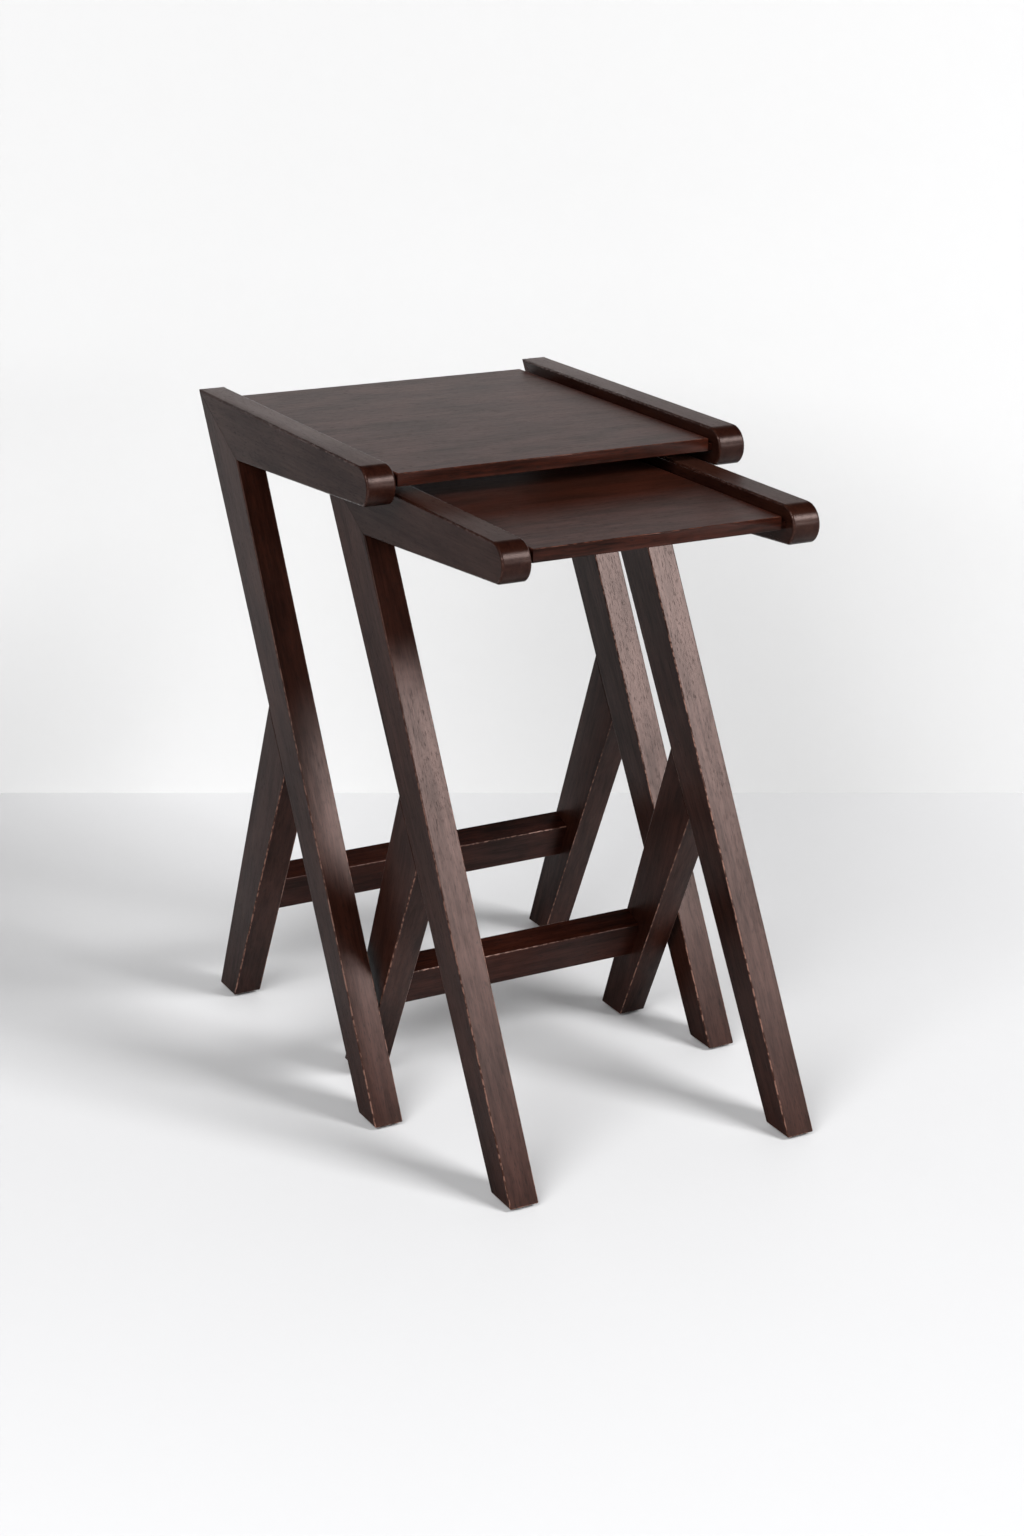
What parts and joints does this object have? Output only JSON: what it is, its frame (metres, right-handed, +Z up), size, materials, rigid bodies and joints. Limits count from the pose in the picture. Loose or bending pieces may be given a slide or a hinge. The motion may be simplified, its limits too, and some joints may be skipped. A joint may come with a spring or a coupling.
{
  "type": "nesting tables",
  "caption": "Nesting side tables of dark stained hardwood: sloping front legs run up into mitred arms that hold a sunk top board; the small table slides under the large one.",
  "frame": {"origin": "middle of the pair's footprint on the floor, with the small table drawn out as at rest", "axes": "+X across the width to the right, -Y to the front where the small table comes out, +Z up"},
  "size_m": [0.379, 0.5682, 0.6],
  "materials": {
    "board": "dark stain under satin lacquer",
    "arm": "dark stain under satin lacquer",
    "leg": "dark stain under satin lacquer",
    "rail": "dark stain under satin lacquer",
    "joinery": "bare beech",
    "glide": "moulded"
  },
  "bodies": {
    "large_table": {"large_top_board": "board", "large_cross_rail": "rail", "large_left_arm": "arm", "large_left_front_leg": "leg", "large_left_rear_leg": "leg", "large_left_mitre_spline": "joinery", "large_left_upper_dowel": "joinery", "large_left_lower_dowel": "joinery", "large_left_front_glide": "glide", "large_left_rear_glide": "glide", "large_right_arm": "arm", "large_right_front_leg": "leg", "large_right_rear_leg": "leg", "large_right_mitre_spline": "joinery", "large_right_upper_dowel": "joinery", "large_right_lower_dowel": "joinery", "large_right_front_glide": "glide", "large_right_rear_glide": "glide"},
    "small_table": {"small_top_board": "board", "small_cross_rail": "rail", "small_left_arm": "arm", "small_left_front_leg": "leg", "small_left_rear_leg": "leg", "small_left_mitre_spline": "joinery", "small_left_upper_dowel": "joinery", "small_left_lower_dowel": "joinery", "small_left_front_glide": "glide", "small_left_rear_glide": "glide", "small_right_arm": "arm", "small_right_front_leg": "leg", "small_right_rear_leg": "leg", "small_right_mitre_spline": "joinery", "small_right_upper_dowel": "joinery", "small_right_lower_dowel": "joinery", "small_right_front_glide": "glide", "small_right_rear_glide": "glide"}
  },
  "joints": [
    {"name": "nest_slide", "type": "slide", "parent": "large_table", "child": "small_table", "axis": [0, -1, 0], "range_m": [-0.179, 0.2]}
  ]
}
